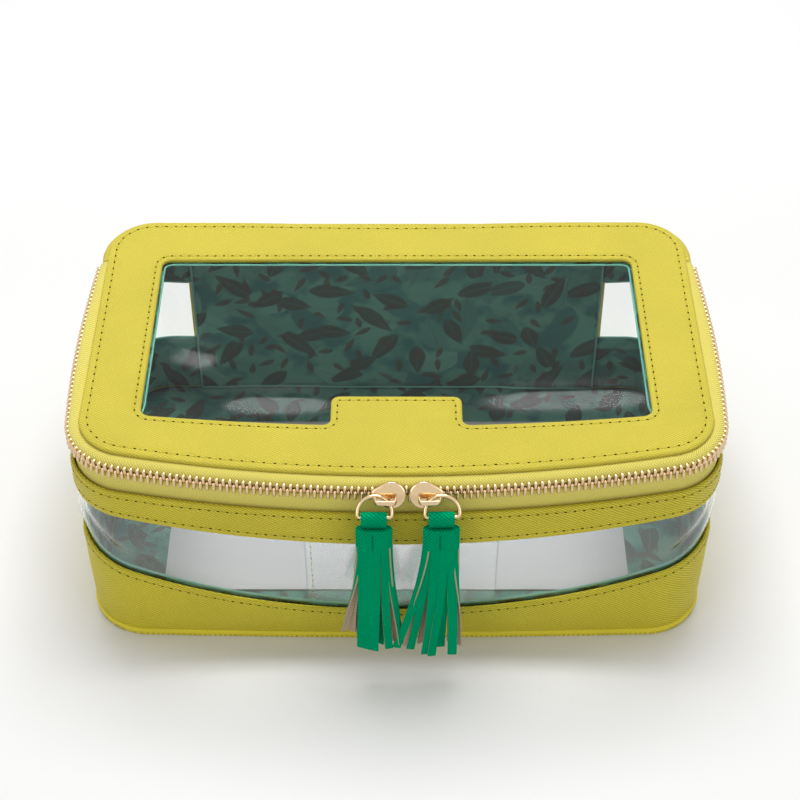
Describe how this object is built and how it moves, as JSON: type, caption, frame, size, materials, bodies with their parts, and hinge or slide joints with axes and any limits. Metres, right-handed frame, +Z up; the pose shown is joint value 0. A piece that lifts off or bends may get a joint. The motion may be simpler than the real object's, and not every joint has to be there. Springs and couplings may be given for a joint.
{
  "type": "game tile bag",
  "caption": "Zip case for game tiles with clear walls, a hinged window lid in a leather frame, lined base and back, and two ring pulls with leather tassels.",
  "frame": {"origin": "centre of the underside of the base, on the surface the bag stands on", "axes": "+Z up, front with the sliders towards -Y, +X to the right seen from the front"},
  "size_m": [0.2708, 0.1832, 0.1055],
  "materials": {
    "leather": "cross-hatch embossed",
    "clear": "clear sheet",
    "lining": "printed cloth",
    "board": "grey board",
    "tape": "woven herringbone",
    "gold": "polished",
    "tassel": "cross-hatch embossed"
  },
  "bodies": {
    "case": {"base_panel": "leather", "base_welt": "leather", "lower_band": "leather", "upper_band": "leather", "back_panel": "leather", "hinge_strip": "leather", "clear_wall": "clear", "card_pocket": "clear", "base_lining": "lining", "lower_band_lining": "lining", "upper_band_lining": "lining", "back_lining": "lining", "base_stiffener": "board", "back_stiffener": "board", "floor_insert": "board", "lower_zip_tape": "tape", "lower_zip_teeth": "gold", "zip_end_stops": "gold"},
    "lid": {"lid_frame": "leather", "lid_window": "clear", "lid_lining": "lining", "upper_zip_tape": "tape", "upper_zip_teeth": "gold"},
    "left_slider": {"left_slider": "gold", "left_slider_bail": "gold"},
    "left_ring": {"left_pull_ring": "gold"},
    "left_tassel": {"left_tassel_strap": "tassel", "left_tassel_head": "tassel", "left_tassel_fringe": "tassel"},
    "right_slider": {"right_slider": "gold", "right_slider_bail": "gold"},
    "right_ring": {"right_pull_ring": "gold"},
    "right_tassel": {"right_tassel_strap": "tassel", "right_tassel_head": "tassel", "right_tassel_fringe": "tassel"}
  },
  "joints": [
    {"name": "lid_hinge", "type": "hinge", "parent": "case", "child": "lid", "pos_m": [0, 0.0795, 0.1037], "axis": [-1, 0, 0], "range_deg": [0, 120]},
    {"name": "left_slider_travel", "type": "hinge", "parent": "case", "child": "left_slider", "pos_m": [0, 0.45112, 0.0982], "axis": [0, 0, -1], "range_deg": [0, 9.44]},
    {"name": "left_ring_swing", "type": "hinge", "parent": "left_slider", "child": "left_ring", "pos_m": [-0.00434, -0.09303, 0.0982], "axis": [-0.738, 0.3814, 0.5567], "range_deg": [0, 60]},
    {"name": "left_tassel_swing", "type": "hinge", "parent": "left_ring", "child": "left_tassel", "pos_m": [-0.00897, -0.09684, 0.0925], "axis": [-1, 0.008, 0], "range_deg": [0, 50]},
    {"name": "right_slider_travel", "type": "hinge", "parent": "case", "child": "right_slider", "pos_m": [0, 0.45112, 0.0982], "axis": [0, 0, 1], "range_deg": [0, 8.51]},
    {"name": "right_ring_swing", "type": "hinge", "parent": "right_slider", "child": "right_ring", "pos_m": [0.01321, -0.09289, 0.0982], "axis": [-0.7316, -0.3934, -0.5567], "range_deg": [0, 60]},
    {"name": "right_tassel_swing", "type": "hinge", "parent": "right_ring", "child": "right_tassel", "pos_m": [0.0179, -0.09662, 0.0925], "axis": [-0.9997, -0.0243, 0], "range_deg": [0, 50]}
  ]
}
